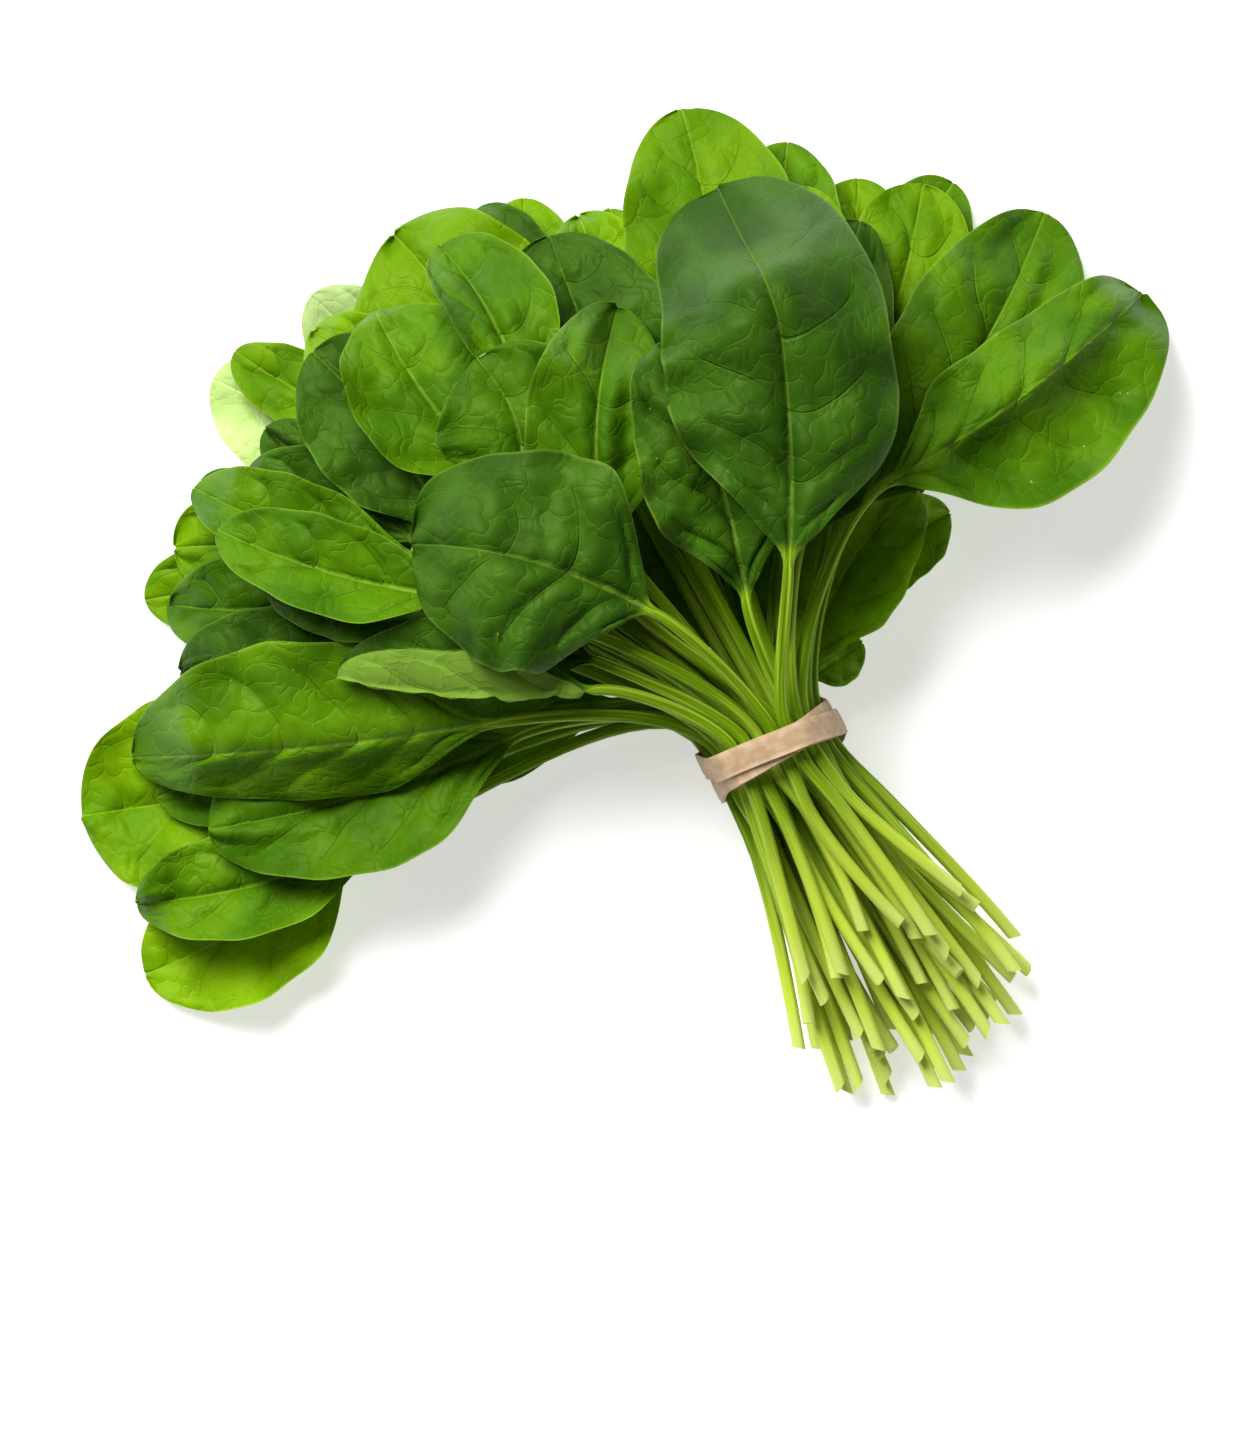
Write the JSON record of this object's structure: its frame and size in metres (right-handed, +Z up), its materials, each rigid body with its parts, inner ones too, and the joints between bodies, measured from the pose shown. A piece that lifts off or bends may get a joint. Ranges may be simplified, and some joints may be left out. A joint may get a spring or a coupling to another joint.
{
  "type": "spinach bunch",
  "caption": "Bunch of fresh spinach lying on its side: long-stalked oval leaves fanned over one another, tied at the neck by a rubber band wound twice",
  "frame": {"origin": "middle of the bunch's plan, on the surface it lies on: the centre of the underside of its bounding box", "axes": "+Z up, away from the surface the bunch lies on; +Y towards the side the leaf tips fan out to, and the cut stalk ends point towards -Y and +X; +X to the right seen from above with +Y away"},
  "size_m": [0.2766, 0.2482, 0.0872],
  "materials": {
    "leaf_dark": "satin",
    "leaf_mid": "satin",
    "leaf_bright": "satin",
    "leaf_pale": "satin",
    "band_rubber": "matt"
  },
  "bodies": {
    "root": {"back_leaf_left_2": "leaf_dark", "back_leaf_left_4": "leaf_mid", "back_leaf_left_5": "leaf_mid", "back_leaf_left_6": "leaf_bright", "back_leaf_left_7": "leaf_dark", "back_leaf_left_8": "leaf_bright", "back_leaf_left_9": "leaf_pale", "back_leaf_mid_1": "leaf_bright", "back_leaf_mid_2": "leaf_mid", "back_leaf_mid_3": "leaf_bright", "back_leaf_mid_4": "leaf_dark", "back_leaf_mid_5": "leaf_bright", "back_leaf_right_1": "leaf_mid", "back_leaf_right_3": "leaf_bright", "back_leaf_right_4": "leaf_mid", "back_leaf_right_5": "leaf_bright", "back_leaf_right_6": "leaf_bright", "crown_leaf_back": "leaf_bright", "crown_leaf_left": "leaf_dark", "crown_leaf_left_1": "leaf_dark", "crown_leaf_left_2": "leaf_mid", "crown_leaf_right": "leaf_dark", "left_leaf_edge_1": "leaf_bright", "left_leaf_edge_2": "leaf_mid", "left_leaf_edge_4": "leaf_mid", "left_leaf_edge_5": "leaf_dark", "left_leaf_edge_6": "leaf_pale", "left_leaf_edge_7": "leaf_bright", "left_leaf_folded": "leaf_dark", "left_leaf_front_1": "leaf_mid", "left_leaf_front_2": "leaf_dark", "left_leaf_front_3": "leaf_mid", "left_leaf_front_4": "leaf_mid", "left_leaf_low_1": "leaf_bright", "left_leaf_low_2": "leaf_bright", "left_leaf_low_3": "leaf_bright", "left_leaf_mid_1": "leaf_mid", "left_leaf_mid_2": "leaf_mid", "left_leaf_mid_3": "leaf_dark", "left_leaf_mid_4": "leaf_dark", "left_leaf_mid_5": "leaf_dark", "left_leaf_small": "leaf_dark", "left_leaf_top_2": "leaf_mid", "right_leaf_back_2": "leaf_mid", "right_leaf_front_1": "leaf_bright", "right_leaf_low_2": "leaf_bright", "right_leaf_low_3": "leaf_bright", "right_leaf_mid_1": "leaf_dark", "right_leaf_mid_2": "leaf_dark", "right_leaf_mid_3": "leaf_dark", "right_leaf_top": "leaf_mid", "under_leaf_1": "leaf_mid", "under_leaf_2": "leaf_mid", "under_leaf_3": "leaf_dark", "under_leaf_4": "leaf_mid", "under_leaf_5": "leaf_mid", "rubber_band": "band_rubber"}
  },
  "joints": []
}
